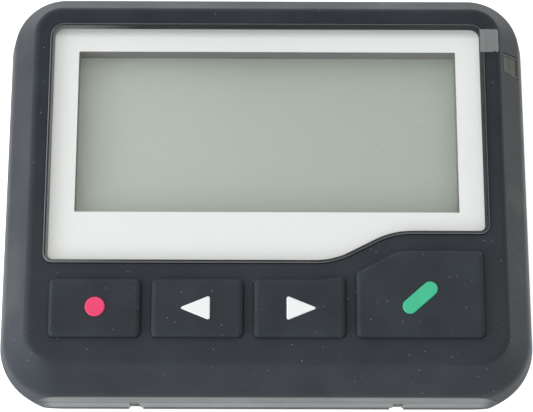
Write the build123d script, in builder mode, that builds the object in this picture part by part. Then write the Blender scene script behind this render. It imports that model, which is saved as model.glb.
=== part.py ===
from build123d import *
import math
import os

# A pocket text pager lying on its back: a landscape body with a wide display, four keys below it,
# an alert light on the right shoulder, two charging contacts in the flat foot and a belt clip behind.
# Frame: +X to the right of the display, +Y to its top, +Z out of the display. The origin is the
# centre of the outline, on the plane that the belt clip lies on. All sizes are in millimetres.

os.makedirs("parts", exist_ok=True)

# ---------------------------------------------------------------- driving dimensions: the body
BODY_W = 84.6  # at the seam, where the body is widest
BODY_TOP = 33.7
BODY_LOW = -34.7  # where the outline would end if the foot were not cut flat
FOOT_Y = -33.7
BODY_R_TOP = 9.3
BODY_R_LOW = 10.0
BACK_Z = 7.0
SEAM_Z = 13.6
SHOULDER_Z = 18.2
FACE_Z = 24.8
RIM_RUN = 1.0  # the flank leans in by this much from the seam to the shoulder
SHOULDER_RUN = 4.2  # and by this much more from the shoulder to the face
SHOULDER_ROUND = 5.0
FACE_ROUND = 1.3
BACK_LEAN = 5.0  # degrees
BACK_ROUND = 2.6
SEAM_GAP = 0.15
WALL = 1.7
FACE_WALL = 2.6
BACK_WALL = 1.6
TONGUE = 0.7
TONGUE_H = 1.2
SLIP = 0.1  # play between parts that drop into each other

# ---------------------------------------------------------------- the display window
LENS_HALF_W = 34.75
LENS_TOP = 25.85
LENS_LOW_LEFT = -13.9
LENS_LOW_RIGHT = -9.15
LENS_STEP_X = (10.5, 19.75)  # where the lower edge climbs to clear the large key
LENS_STEP_R = 12.0
LENS_R_TOP = 2.2
LENS_R_LOW = 1.5
LENS_TOP_Z = 25.15
LENS_T = 1.35
LENS_CHAMFER = 0.15
PRINT_INSET = 0.7
PRINT_T = 0.1
TAPE_T = 0.3
TAPE_W = 2.2
FILM_T = 0.08
FILM_INSET = 0.45
GLUE = 0.02  # the layer between the window and what clings to it
TAB_HALF_H = 1.95
TAB_Y = 23.0
TAB_END_X = 37.05
TAB_NICK_X = 36.4
VIEW_HALF_W = 30.15
VIEW_TOP = 21.3
VIEW_LOW = -5.5
LEDGE_CLEAR = 1.2  # how much larger the hole in the shell is than the view

# ---------------------------------------------------------------- the keys
KEY_LOW = -25.7
KEY_HIGH = -16.5
KEY_W = 14.2
KEY_PITCH = 15.75
KEY_LEFT = -33.55
KEY_R = 0.9
KEY_RISE = 1.0
KEY_ROUND = 0.8
KEY_SLIP = 0.06
KEY_TRAVEL = 0.75
KEY_STEP = 0.9  # the stem under the cap is smaller than the cap all round
LIFT = 0.5  # the third key's upper right corner reaches up to follow the window
BIG_KEY_RIGHT = 33.5
BIG_KEY_HIGH = -11.85
BIG_KEY_SLANT = ((13.7, -15.4), (20.4, -11.85))
BLUNT_R = 4.0  # for the corners where a key's outline turns only a little
LEGEND_DEPTH = 0.5
LEGEND_PROUD = 0.2
LEGEND_ROUND = 0.17
DOT_R = 1.53
DOT_XY = (-26.35, -21.1)
ARROW_Y = -21.25
ARROW_HALF_H = 1.95
ARROW_L = 4.75
ARROW_BASES = (-8.72, 3.04)  # the flat side of each arrowhead
BAR_XY = (23.55, -19.55)
BAR_L = 6.5
BAR_W = 2.33
BAR_ANGLE = 41.5

# ---------------------------------------------------------------- the inside
PCB_T = 1.2
PCB_TOP_Z = 16.8
PCB_UNDER_Z = PCB_TOP_Z - PCB_T
PCB_HALF_W = 38.5
PCB_TOP = 31.0
PCB_LOW = -31.3
PCB_R = 6.5
MAT_T = 1.0
PILL_R = 2.4
PILL_T = 0.4
PILL_Z = PCB_TOP_Z + KEY_TRAVEL + 0.05
STEM_Z = PILL_Z + PILL_T
CAP_Z = FACE_Z - FACE_WALL - 0.3
WEB_W = 1.0
WEB_T = 0.4
CRADLE_HALF_W = 32.6  # the frame that holds the display
CRADLE_LOW = -8.2
CRADLE_TOP = 25.4
CRADLE_TOP_Z = 21.4
CRADLE_WALL = 1.0
CRADLE_FLOOR = 0.6
ZEBRA_W = 1.6
BOSS_R = 2.3
SCREW_R = 1.0
SCREW_HEAD_R = 1.9
SCREW_HEAD_H = 1.3
SCREW_X = 36.0
SCREW_TOP_Y = 26.6
SCREW_LOW_Y = -27.6
POSTS = [(-37.0, 20.0), (-37.0, -20.0), (37.0, 12.0), (37.0, -18.0)]
PCB_SCREWS = [POSTS[0], POSTS[3]]
POST_R = 1.6
BATTERY = (48.0, 32.0, 5.0)
BATTERY_XY = (-11.0, 1.0)
PAD_T = 0.5
MOTOR_R = 3.0
MOTOR_Y = -26.5
MOTOR_Z = 12.0
MOTOR_X = (-14.0, -3.0)
SHAFT_R = 0.5
WEIGHT_R = 2.7
WEIGHT_X = (-1.8, 3.2)
BUZZER_XY = (26.5, -10.0)
BUZZER_R = 6.0
BUZZER_H = 4.4
FLOOR_Z = BACK_Z + BACK_WALL

# ---------------------------------------------------------------- alert light and contacts
LIGHT_Y = 20.35
# The light window's corners on the shoulder: along the body, and up the slope.
LIGHT_CORNERS = ((-1.7, -3.15), (2.2, -3.15), (1.33, 2.5), (-1.92, 2.5))
LIGHT_RIM = 0.45
CONTACT_X = 20.85
CONTACT_W = 1.5
CONTACT_Z = (9.4, 12.9)
CONTACT_DEPTH = 0.9
SCALLOP_R = 1.15
LEAF_T = 0.25

# ---------------------------------------------------------------- the belt clip
CLIP_W = 24.0
CLIP_LOW = -26.0
CLIP_HIGH = 24.5
CLIP_T = 2.2
PIN_Y = 13.0
PIN_Z = (CLIP_T + BACK_Z) / 2
PIN_R = 1.0
EAR_R = 1.9
EAR_X = (10.1, 11.9)
LUG_X = (7.4, 9.8)
SPRING_WIRE_R = 0.32
SPRING_R = (BACK_Z - CLIP_T) / 2 - SPRING_WIRE_R - 0.02
SPRING_PITCH = 0.75
SPRING_TURNS = 6.5
SPRING_LEG = 7.5
SPRING_SHORT_LEG = 4.5
CLIP_OPEN = 14  # degrees from shut to fully open

PRINT_Z = LENS_TOP_Z - LENS_T - GLUE - PRINT_T
TAPE_Z = PRINT_Z - TAPE_T
BODY_H = BODY_TOP - BODY_LOW
BODY_Y = (BODY_TOP + BODY_LOW) / 2
RIM_LEAN = math.degrees(math.atan(RIM_RUN / (SHOULDER_Z - SEAM_Z)))
SHOULDER_LEAN = math.degrees(math.atan(SHOULDER_RUN / (FACE_Z - SHOULDER_Z)))
SCREWS = [(x, y) for x in (-SCREW_X, SCREW_X) for y in (SCREW_LOW_Y, SCREW_TOP_Y)]

# Each key: its name, its sharp outline, and its legend's kind.
KEYS = [
    (
        "red_dot",
        [
            (KEY_LEFT, KEY_LOW),
            (KEY_LEFT + KEY_W, KEY_LOW),
            (KEY_LEFT + KEY_W, KEY_HIGH),
            (KEY_LEFT, KEY_HIGH),
        ],
    ),
    (
        "left_arrow",
        [
            (KEY_LEFT + KEY_PITCH, KEY_LOW),
            (KEY_LEFT + KEY_PITCH + KEY_W, KEY_LOW),
            (KEY_LEFT + KEY_PITCH + KEY_W, KEY_HIGH),
            (KEY_LEFT + KEY_PITCH, KEY_HIGH),
        ],
    ),
    (
        "right_arrow",
        [
            (KEY_LEFT + 2 * KEY_PITCH, KEY_LOW),
            (KEY_LEFT + 2 * KEY_PITCH + KEY_W, KEY_LOW),
            (KEY_LEFT + 2 * KEY_PITCH + KEY_W, KEY_HIGH + LIFT),
            (KEY_LEFT + 2 * KEY_PITCH + 0.7 * KEY_W, KEY_HIGH),
            (KEY_LEFT + 2 * KEY_PITCH, KEY_HIGH),
        ],
    ),
    (
        "green_bar",
        [
            (BIG_KEY_SLANT[0][0], KEY_LOW),
            (BIG_KEY_RIGHT, KEY_LOW),
            (BIG_KEY_RIGHT, BIG_KEY_HIGH),
            BIG_KEY_SLANT[1],
            BIG_KEY_SLANT[0],
        ],
    ),
]


def write(piece, label):
    """Names a finished piece and writes it."""
    piece.part.label = label
    export_step(piece.part, f"parts/{label}.step")


# ---------------------------------------------------------------- outlines drawn into a sketch
def round_corners(radius, *places):
    """Rounds the corners of the sketch that is open, or only those at the given places."""
    chosen = vertices()
    if places:
        chosen = [v for v in chosen if min(math.dist((v.X, v.Y), place) for place in places) < 0.01]
    fillet(chosen, radius)


def body_outline(inset):
    """The rounded outline at the seam, drawn in by inset."""
    half_w, top, low = BODY_W / 2 - inset, BODY_TOP - inset, BODY_LOW + inset
    with Locations((0, BODY_Y)):
        Rectangle(2 * half_w, top - low)
    round_corners(BODY_R_TOP - inset, (-half_w, top), (half_w, top))
    round_corners(BODY_R_LOW - inset, (-half_w, low), (half_w, low))


def footed_outline(inset):
    """The same outline with the foot cut flat."""
    body_outline(inset)
    with Locations((0, FOOT_Y + inset)):
        Rectangle(BODY_W, 20, align=(Align.CENTER, Align.MAX), mode=Mode.SUBTRACT)


def lens_outline(grow=0.0):
    """The window's outline: a wide rectangle whose lower edge steps up on the right."""
    low_left = (-LENS_HALF_W, LENS_LOW_LEFT)
    step_low = (LENS_STEP_X[0], LENS_LOW_LEFT)
    step_high = (LENS_STEP_X[1], LENS_LOW_RIGHT)
    low_right = (LENS_HALF_W, LENS_LOW_RIGHT)
    top_right = (LENS_HALF_W, LENS_TOP)
    top_left = (-LENS_HALF_W, LENS_TOP)
    with BuildLine() as border:
        Polyline(low_left, step_low, step_high, low_right, top_right, top_left, close=True)
    make_face(border.edges())
    round_corners(LENS_STEP_R, step_low, step_high)
    round_corners(LENS_R_LOW, low_left, low_right)
    round_corners(LENS_R_TOP, top_right, top_left)
    if grow:
        offset(amount=grow)


def view_outline(grow=0.0, mode=Mode.ADD):
    """The rectangle through which the display is seen."""
    width, height = 2 * (VIEW_HALF_W + grow), VIEW_TOP - VIEW_LOW + 2 * grow
    with Locations((0, (VIEW_TOP + VIEW_LOW) / 2)):
        RectangleRounded(width, height, 0.15 + grow / 2, mode=mode)


def key_outline(points, grow, radius):
    """A key's outline, grown by an offset and rounded at its corners."""
    with BuildLine() as border:
        Polyline(*points, close=True)
    make_face(border.edges())
    if grow:
        offset(amount=grow, kind=Kind.INTERSECTION)
    for blunt in (True, False):
        chosen = [v for v in vertices() if is_blunt(v, points) == blunt]
        if chosen:
            fillet(chosen, BLUNT_R if blunt else radius)


def is_blunt(vertex, points):
    """Whether a vertex belongs to a corner where the key's outline turns only a little."""
    at = min(range(len(points)), key=lambda n: math.dist(points[n], (vertex.X, vertex.Y)))
    before, here, after = (Vector(*points[(at + n) % len(points)]) for n in (-1, 0, 1))
    return (here - before).get_angle(after - here) < 45


def light_outline(grow=0.0):
    """The alert light's outline on its own plane."""
    with BuildLine() as border:
        Polyline(*LIGHT_CORNERS, close=True)
    make_face(border.edges())
    if grow:
        offset(amount=grow, kind=Kind.INTERSECTION)
    round_corners(0.4 + grow / 2)


def legend_outline(name):
    """The coloured mark let into the top of a key."""
    if name == "red_dot":
        with Locations(DOT_XY):
            Circle(DOT_R)
    elif name == "green_bar":
        with Locations(Location(BAR_XY, BAR_ANGLE)):
            SlotOverall(BAR_L, BAR_W)
    else:
        base, way = (ARROW_BASES[0], -1) if name == "left_arrow" else (ARROW_BASES[1], 1)
        low, high = (base, ARROW_Y - ARROW_HALF_H), (base, ARROW_Y + ARROW_HALF_H)
        tip = (base + way * ARROW_L, ARROW_Y)
        with BuildLine() as border:
            Polyline(low, high, tip, close=True)
        make_face(border.edges())
        round_corners(0.3, low, high)
        round_corners(0.2, tip)


# ---------------------------------------------------------------- the two shells
def flank_solid(inset, low_z, high_z):
    """The front half of the body's form from low_z up, drawn in by inset."""
    with BuildSketch(Plane.XY.offset(low_z)) as low:
        body_outline(inset)
    extrude(low.sketch, amount=SHOULDER_Z - low_z, taper=RIM_LEAN)
    with BuildSketch(Plane.XY.offset(SHOULDER_Z)) as high:
        body_outline(inset + RIM_RUN)
    extrude(high.sketch, amount=high_z - SHOULDER_Z, taper=SHOULDER_LEAN)


def light_plane(depth=0.0):
    """A plane on the right shoulder at the alert light, sunk below the surface by depth."""
    run, drop = SHOULDER_RUN, FACE_Z - SHOULDER_Z
    length = math.hypot(run, drop)
    middle = 3.5 / drop  # how far down the shoulder the light's middle is
    face_half_w = BODY_W / 2 - RIM_RUN - SHOULDER_RUN
    normal = Vector(drop / length, 0, run / length)
    origin = Vector(face_half_w + run * middle, LIGHT_Y, FACE_Z - drop * middle)
    return Plane(origin=origin - normal * depth, x_dir=(0, 1, 0), z_dir=normal)


with BuildPart() as front_cavity:
    flank_solid(WALL, SEAM_Z, FACE_Z - FACE_WALL)
    split(bisect_by=Plane(origin=(0, FOOT_Y + WALL, 0), z_dir=(0, 1, 0)), keep=Keep.TOP)

with BuildPart() as front_shell:
    flank_solid(0, SEAM_Z, FACE_Z)
    face_edges = front_shell.edges().filter_by_position(Axis.Z, FACE_Z - 0.01, FACE_Z + 0.01)
    fillet(face_edges, FACE_ROUND)
    waist = front_shell.edges().filter_by_position(Axis.Z, SHOULDER_Z - 0.01, SHOULDER_Z + 0.01)
    fillet(waist, SHOULDER_ROUND)
    split(bisect_by=Plane(origin=(0, FOOT_Y, 0), z_dir=(0, 1, 0)), keep=Keep.TOP)
    add(front_cavity.part, mode=Mode.SUBTRACT)
    # Screw bosses stand in the corners, cast into the sloping wall.
    with BuildSketch(Plane.XY.offset(SEAM_Z + TONGUE_H + SLIP)):
        with Locations(*SCREWS):
            Circle(BOSS_R)
    extrude(amount=21.0 - SEAM_Z - TONGUE_H - SLIP)
    with BuildSketch(Plane.XY.offset(SEAM_Z)):
        with Locations(*SCREWS):
            Circle(SCREW_R)
    extrude(amount=20.0 - SEAM_Z, mode=Mode.SUBTRACT)
    # The rebate that the rear shell's tongue enters.
    with BuildSketch(Plane.XY.offset(SEAM_Z)):
        footed_outline(WALL - TONGUE - SLIP)
        with Locations(*SCREWS):
            Circle(BOSS_R, mode=Mode.SUBTRACT)
    extrude(amount=TONGUE_H + SLIP, mode=Mode.SUBTRACT)
    # The recess for the window and the hole behind it.
    with BuildSketch(Plane.XY.offset(FACE_Z)):
        lens_outline(SLIP)
    extrude(amount=-(FACE_Z - TAPE_Z), mode=Mode.SUBTRACT)
    with BuildSketch(Plane.XY.offset(FACE_Z)):
        view_outline(LEDGE_CLEAR)
    extrude(amount=-2 * FACE_WALL, mode=Mode.SUBTRACT)
    # The key openings.
    for name, points in KEYS:
        with BuildSketch(Plane.XY.offset(FACE_Z)):
            key_outline(points, KEY_SLIP, KEY_R + KEY_SLIP)
        extrude(amount=-2 * FACE_WALL, mode=Mode.SUBTRACT)
    # The opening for the alert light.
    with BuildSketch(light_plane(-1)):
        light_outline(0.05)
    extrude(amount=-4, mode=Mode.SUBTRACT)
write(front_shell, "front_shell")

with BuildPart() as rear_cavity:
    with BuildSketch(Plane.XY.offset(SEAM_Z)):
        body_outline(WALL)
    extrude(amount=FLOOR_Z - SEAM_Z, taper=BACK_LEAN)
    split(bisect_by=Plane(origin=(0, FOOT_Y + WALL, 0), z_dir=(0, 1, 0)), keep=Keep.TOP)

with BuildPart() as rear_shell:
    with BuildSketch(Plane.XY.offset(SEAM_Z - SEAM_GAP)):
        body_outline(0)
    extrude(amount=-(SEAM_Z - SEAM_GAP - BACK_Z), taper=BACK_LEAN)
    back_edges = rear_shell.edges().filter_by_position(Axis.Z, BACK_Z - 0.01, BACK_Z + 0.01)
    fillet(back_edges, BACK_ROUND)
    split(bisect_by=Plane(origin=(0, FOOT_Y, 0), z_dir=(0, 1, 0)), keep=Keep.TOP)
    # The tongue.
    with BuildSketch(Plane.XY.offset(SEAM_Z - SEAM_GAP)):
        footed_outline(WALL - TONGUE)
    extrude(amount=SEAM_GAP + TONGUE_H)
    add(rear_cavity.part, mode=Mode.SUBTRACT)
    with BuildSketch(Plane.XY.offset(SEAM_Z)):
        footed_outline(WALL)
        with Locations(*SCREWS):
            Circle(BOSS_R + SLIP, mode=Mode.SUBTRACT)
    extrude(amount=TONGUE_H + 1, mode=Mode.SUBTRACT)
    # Screw bosses and the posts that carry the circuit board.
    with BuildSketch(Plane.XY.offset(FLOOR_Z)):
        with Locations(*SCREWS):
            Circle(BOSS_R)
    extrude(amount=SEAM_Z + TONGUE_H - FLOOR_Z)
    with BuildSketch(Plane.XY.offset(FLOOR_Z)):
        with Locations(*POSTS):
            Circle(POST_R)
    extrude(amount=PCB_UNDER_Z - FLOOR_Z)
    with BuildSketch(Plane.XY.offset(PCB_UNDER_Z)):
        with Locations(*PCB_SCREWS):
            Circle(0.75)
    extrude(amount=-5, mode=Mode.SUBTRACT)
    # A low fence round the battery, open at its corners.
    with BuildSketch(Plane.XY.offset(FLOOR_Z)):
        with Locations(BATTERY_XY):
            Rectangle(BATTERY[0] + 2.6, BATTERY[1] + 2.6)
            Rectangle(BATTERY[0] + 0.6, BATTERY[1] + 0.6, mode=Mode.SUBTRACT)
            Rectangle(BATTERY[0] - 12, 60, mode=Mode.SUBTRACT)
            Rectangle(80, BATTERY[1] - 10, mode=Mode.SUBTRACT)
    extrude(amount=2.6)
    # Lugs for the clip's pin.
    for side in (-1, 1):
        with BuildSketch(Plane.YZ.offset(side * (LUG_X[0] + LUG_X[1]) / 2)):
            with Locations((PIN_Y, PIN_Z)):
                Circle(EAR_R)
            with Locations((PIN_Y, PIN_Z)):
                Rectangle(2 * EAR_R, BACK_Z + 1 - PIN_Z, align=(Align.CENTER, Align.MIN))
        extrude(amount=(LUG_X[1] - LUG_X[0]) / 2, both=True)
    with BuildSketch(Plane.YZ):
        with Locations((PIN_Y, PIN_Z)):
            Circle(PIN_R + 0.05)
    extrude(amount=CLIP_W, both=True, mode=Mode.SUBTRACT)
    # Screw holes with counterbores from the back.
    with Locations(*[Location((x, y, BACK_Z), (180, 0, 0)) for x, y in SCREWS]):
        CounterBoreHole(SCREW_R + 0.15, SCREW_HEAD_R + 0.2, SCREW_HEAD_H + 0.3, 12)
    # Sound holes over the buzzer.
    with BuildSketch(Plane.XY.offset(FLOOR_Z)):
        with Locations(BUZZER_XY):
            Circle(0.5)
            with PolarLocations(2.2, 6):
                Circle(0.5)
    extrude(amount=-2 * BACK_WALL, mode=Mode.SUBTRACT)
    # A shallow recess for the label.
    with BuildSketch(Plane.XY.offset(BACK_Z)):
        with Locations((-25.5, 0)):
            RectangleRounded(20.2, 28.2, 1.1)
    extrude(amount=0.15, mode=Mode.SUBTRACT)
    # Charging contacts: a slot in the foot, a scallop in the back edge and a way in for the leaf.
    for side in (-1, 1):
        with BuildSketch(Plane.XY.offset(CONTACT_Z[0])):
            with Locations((side * CONTACT_X, FOOT_Y)):
                Rectangle(CONTACT_W, 2 * CONTACT_DEPTH)
        extrude(amount=CONTACT_Z[1] - CONTACT_Z[0], mode=Mode.SUBTRACT)
        with BuildSketch(Plane.XY.offset(CONTACT_Z[0])):
            with Locations((side * CONTACT_X, FOOT_Y)):
                Circle(SCALLOP_R)
        extrude(amount=-(CONTACT_Z[0] - BACK_Z), mode=Mode.SUBTRACT)
        with BuildSketch(Plane.XY.offset(CONTACT_Z[1] - 0.9)):
            with Locations((side * CONTACT_X, FOOT_Y)):
                Rectangle(CONTACT_W, 4 * WALL)
        extrude(amount=LEAF_T + 0.1, mode=Mode.SUBTRACT)
write(rear_shell, "rear_shell")

with BuildPart() as rear_label:
    with BuildSketch(Plane.XY.offset(BACK_Z + 0.03)):
        with Locations((-25.5, 0)):
            RectangleRounded(20, 28, 1)
    extrude(amount=0.12)
write(rear_label, "rear_label")

with BuildPart() as case_screws:
    for x, y in SCREWS:
        with BuildSketch(Plane.XY.offset(BACK_Z + 0.3)):
            with Locations((x, y)):
                Circle(SCREW_HEAD_R)
        extrude(amount=SCREW_HEAD_H)
        with BuildSketch(Plane.XY.offset(BACK_Z + 0.3 + SCREW_HEAD_H)):
            with Locations((x, y)):
                Circle(SCREW_R)
        extrude(amount=10.2)
        with BuildSketch(Plane.XY.offset(BACK_Z + 0.3)):
            with Locations((x, y)):
                Rectangle(2.2, 0.5)
                Rectangle(0.5, 2.2)
        extrude(amount=0.8, mode=Mode.SUBTRACT)
    rims = case_screws.edges().filter_by(GeomType.CIRCLE)
    fillet(rims.filter_by_position(Axis.Z, BACK_Z + 0.29, BACK_Z + 0.31), 0.4)
write(case_screws, "case_screws")

# ---------------------------------------------------------------- the display window
with BuildPart() as display_lens:
    with BuildSketch(Plane.XY.offset(LENS_TOP_Z - LENS_T)):
        lens_outline()
    extrude(amount=LENS_T)
    chamfer(display_lens.faces().sort_by(Axis.Z)[-1].edges(), LENS_CHAMFER)
write(display_lens, "display_lens")

with BuildPart() as lens_print_frame:
    with BuildSketch(Plane.XY.offset(PRINT_Z)):
        lens_outline(-PRINT_INSET)
        view_outline(mode=Mode.SUBTRACT)
    extrude(amount=PRINT_T)
write(lens_print_frame, "lens_print_frame")

with BuildPart() as lens_tape:
    with BuildSketch(Plane.XY.offset(TAPE_Z)):
        lens_outline(-PRINT_INSET - 0.1)
        view_outline(LEDGE_CLEAR + SLIP, Mode.SUBTRACT)
    extrude(amount=TAPE_T)
write(lens_tape, "lens_tape")

with BuildPart() as protective_film:
    with BuildSketch(Plane.XY.offset(LENS_TOP_Z + GLUE)):
        lens_outline(-FILM_INSET)
        with Locations((LENS_HALF_W - 4, TAB_Y)):
            RectangleRounded(
                TAB_END_X - LENS_HALF_W + 4,
                2 * TAB_HALF_H,
                0.38,
                align=(Align.MIN, Align.CENTER),
            )
        with Locations((TAB_NICK_X, TAB_Y - TAB_HALF_H)):
            RegularPolygon(0.34, 3, rotation=90, mode=Mode.SUBTRACT)
    extrude(amount=FILM_T)
write(protective_film, "protective_film")

# ---------------------------------------------------------------- the alert light
with BuildPart() as alert_light_window:
    with BuildSketch(light_plane()):
        light_outline()
    extrude(amount=-1.5)
    outward = Axis(light_plane().origin, light_plane().z_dir)
    chamfer(alert_light_window.faces().sort_by(outward)[-1].edges(), 0.12)
    with BuildSketch(light_plane()):
        light_outline(-LIGHT_RIM)
    extrude(amount=-0.1, mode=Mode.SUBTRACT)
    with BuildSketch(light_plane(1.5)):
        with Locations((0, -0.4)):
            RectangleRounded(4.6, 4.6, 0.6)
    extrude(amount=-0.8)
write(alert_light_window, "alert_light_window")

with BuildPart() as alert_led:
    with BuildSketch(Plane.XY.offset(PCB_TOP_Z)):
        with Locations((35.4, LIGHT_Y)):
            Rectangle(1.6, 3.0)
    extrude(amount=0.7)
    with BuildSketch(Plane.XY.offset(PCB_TOP_Z + 0.7)):
        with Locations((35.4, LIGHT_Y)):
            Rectangle(1.2, 2.0)
    extrude(amount=0.5, taper=8)
write(alert_led, "alert_led")

# ---------------------------------------------------------------- the keys
for name, points in KEYS:
    with BuildPart() as key:
        with BuildSketch(Plane.XY.offset(STEM_Z)):
            key_outline(points, -KEY_STEP, 0.5)
        extrude(amount=CAP_Z - STEM_Z)
        with BuildSketch(Plane.XY.offset(CAP_Z)):
            key_outline(points, 0, KEY_R)
        extrude(amount=FACE_Z + KEY_RISE - CAP_Z)
        fillet(key.faces().sort_by(Axis.Z)[-1].edges(), KEY_ROUND)
        with BuildSketch(Plane.XY.offset(FACE_Z + KEY_RISE)):
            legend_outline(name)
        extrude(amount=-LEGEND_DEPTH, mode=Mode.SUBTRACT)
    write(key, f"key_{name}")

    with BuildPart() as legend:
        with BuildSketch(Plane.XY.offset(FACE_Z + KEY_RISE - LEGEND_DEPTH)):
            legend_outline(name)
        extrude(amount=LEGEND_DEPTH + LEGEND_PROUD)
        fillet(legend.faces().sort_by(Axis.Z)[-1].edges(), LEGEND_ROUND)
    write(legend, f"legend_{name}")

    centre = sum((Vector(x, y) for x, y in points), Vector(0, 0)) / len(points)
    with BuildPart() as pill:
        with BuildSketch(Plane.XY.offset(PILL_Z)):
            with Locations((centre.X, centre.Y)):
                Circle(PILL_R)
        extrude(amount=PILL_T)
    write(pill, f"contact_pill_{name}")

    # The thin sloping skirt that lets the key down and brings it back.
    with BuildPart() as web_hollow:
        with BuildSketch(Plane.XY.offset(PCB_TOP_Z + MAT_T)):
            key_outline(points, WEB_W + 0.02 - KEY_STEP, 1.5)
        with BuildSketch(Plane.XY.offset(PCB_TOP_Z + MAT_T + WEB_W)):
            key_outline(points, 0.02 - KEY_STEP, 0.52)
        loft(ruled=True)
    with BuildPart() as web:
        with BuildSketch(Plane.XY.offset(PCB_TOP_Z + MAT_T)):
            key_outline(points, WEB_W + WEB_T + 0.02 - KEY_STEP, 1.9)
        with BuildSketch(Plane.XY.offset(PCB_TOP_Z + MAT_T + WEB_W)):
            key_outline(points, WEB_T + 0.02 - KEY_STEP, 0.92)
        loft(ruled=True)
        add(web_hollow.part, mode=Mode.SUBTRACT)
    write(web, f"key_web_{name}")

with BuildPart() as keypad_mat:
    with BuildSketch(Plane.XY.offset(PCB_TOP_Z)):
        with Locations((0, -19.65)):
            RectangleRounded(70, 19.7, 1.5)
        with Locations(*SCREWS):
            Circle(BOSS_R + 0.5, mode=Mode.SUBTRACT)
    extrude(amount=MAT_T)
    for name, points in KEYS:
        with BuildSketch(Plane.XY.offset(PCB_TOP_Z)):
            key_outline(points, WEB_W - KEY_STEP, 1.5)
        extrude(amount=MAT_T, mode=Mode.SUBTRACT)
write(keypad_mat, "keypad_mat")

# ---------------------------------------------------------------- the display behind the window
POCKET_HALF_W = CRADLE_HALF_W - CRADLE_WALL
POCKET_LOW = CRADLE_LOW + CRADLE_WALL
POCKET_TOP = CRADLE_TOP - CRADLE_WALL
REAR_GLASS_TOP = POCKET_TOP - ZEBRA_W - 0.5
STACK_Z = PCB_TOP_Z + CRADLE_FLOOR
GUIDE_LEFT = -POCKET_HALF_W + 2.0
BACKLIGHT_LEDS = [(-POCKET_HALF_W + 1.0, y) for y in (-2.0, 7.6, 17.2)]


def slab(left, right, low, high, z, thickness, radius=0.2):
    """A thin rounded plate between the given edges, from z up."""
    with BuildSketch(Plane.XY.offset(z)) as plate:
        with Locations(((left + right) / 2, (low + high) / 2)):
            RectangleRounded(right - left, high - low, radius)
    extrude(plate.sketch, amount=thickness)


with BuildPart() as lcd_frame:
    slab(-CRADLE_HALF_W, CRADLE_HALF_W, CRADLE_LOW, CRADLE_TOP, PCB_TOP_Z, CRADLE_TOP_Z - PCB_TOP_Z, 1)
    with BuildSketch(Plane.XY.offset(STACK_Z)):
        with Locations((0, (POCKET_LOW + POCKET_TOP) / 2)):
            Rectangle(2 * POCKET_HALF_W, POCKET_TOP - POCKET_LOW)
    extrude(amount=CRADLE_TOP_Z - STACK_Z, mode=Mode.SUBTRACT)
    with BuildSketch(Plane.XY.offset(PCB_TOP_Z)):
        with Locations((0, POCKET_TOP - ZEBRA_W / 2 - 0.1)):
            Rectangle(60.4, ZEBRA_W + 0.2)
        with Locations(*BACKLIGHT_LEDS):
            Rectangle(1.7, 3.4)
    extrude(amount=CRADLE_FLOOR, mode=Mode.SUBTRACT)
write(lcd_frame, "lcd_frame")

LAYERS = [  # name, thickness, left edge, top edge, in order from the back
    ("lcd_reflector", 0.15, GUIDE_LEFT, REAR_GLASS_TOP),
    ("backlight_guide", 1.25, GUIDE_LEFT, REAR_GLASS_TOP),
    ("lcd_diffuser", 0.2, -POCKET_HALF_W + 0.1, REAR_GLASS_TOP),
    ("lcd_rear_glass", 0.7, -POCKET_HALF_W + 0.1, REAR_GLASS_TOP),
    ("lcd_front_glass", 0.7, -POCKET_HALF_W + 0.1, POCKET_TOP - 0.1),
    ("lcd_polariser", 0.2, -POCKET_HALF_W + 0.5, REAR_GLASS_TOP - 0.2),
]
layer_z = STACK_Z
for name, thickness, left, top in LAYERS:
    with BuildPart() as layer:
        slab(left, POCKET_HALF_W - 0.1, POCKET_LOW + 0.1, top, layer_z, thickness)
    write(layer, name)
    layer_z += thickness
FRONT_GLASS_Z = layer_z - LAYERS[-1][1] - LAYERS[-2][1]

# A soft ring that keeps dust out between the window and the display.
GASKET_Z = layer_z + 0.05
with BuildPart() as dust_gasket:
    with BuildSketch(Plane.XY.offset(GASKET_Z)):
        view_outline(LEDGE_CLEAR - SLIP)
        view_outline(0.05, Mode.SUBTRACT)
    extrude(amount=PRINT_Z - GASKET_Z)
write(dust_gasket, "dust_gasket")

with BuildPart() as zebra_strip:
    slab(-30, 30, POCKET_TOP - ZEBRA_W - 0.1, POCKET_TOP - 0.1, PCB_TOP_Z, FRONT_GLASS_Z - PCB_TOP_Z)
write(zebra_strip, "zebra_strip")

with BuildPart() as backlight_leds:
    for x, y in BACKLIGHT_LEDS:
        slab(x - 0.75, x + 0.75, y - 1.5, y + 1.5, PCB_TOP_Z, 1.7)
write(backlight_leds, "backlight_leds")

# ---------------------------------------------------------------- the circuit board
with BuildPart() as main_pcb:
    slab(-PCB_HALF_W, PCB_HALF_W, PCB_LOW, PCB_TOP, PCB_UNDER_Z, PCB_T, PCB_R)
    with BuildSketch(Plane.XY.offset(PCB_UNDER_Z)):
        with Locations(*SCREWS):
            Circle(BOSS_R + 0.4)
        with Locations(*PCB_SCREWS):
            Circle(0.85)
    extrude(amount=PCB_T, mode=Mode.SUBTRACT)
write(main_pcb, "main_pcb")

with BuildPart() as pcb_screws:
    with BuildSketch(Plane.XY.offset(PCB_TOP_Z)):
        with Locations(*PCB_SCREWS):
            Circle(1.4)
    extrude(amount=0.9)
    with BuildSketch(Plane.XY.offset(PCB_TOP_Z - 5)):
        with Locations(*PCB_SCREWS):
            Circle(0.75)
    extrude(amount=5)
    with BuildSketch(Plane.XY.offset(PCB_TOP_Z + 0.9)):
        with Locations(*PCB_SCREWS):
            Rectangle(1.7, 0.4)
            Rectangle(0.4, 1.7)
    extrude(amount=-0.5, mode=Mode.SUBTRACT)
write(pcb_screws, "pcb_screws")

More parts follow.
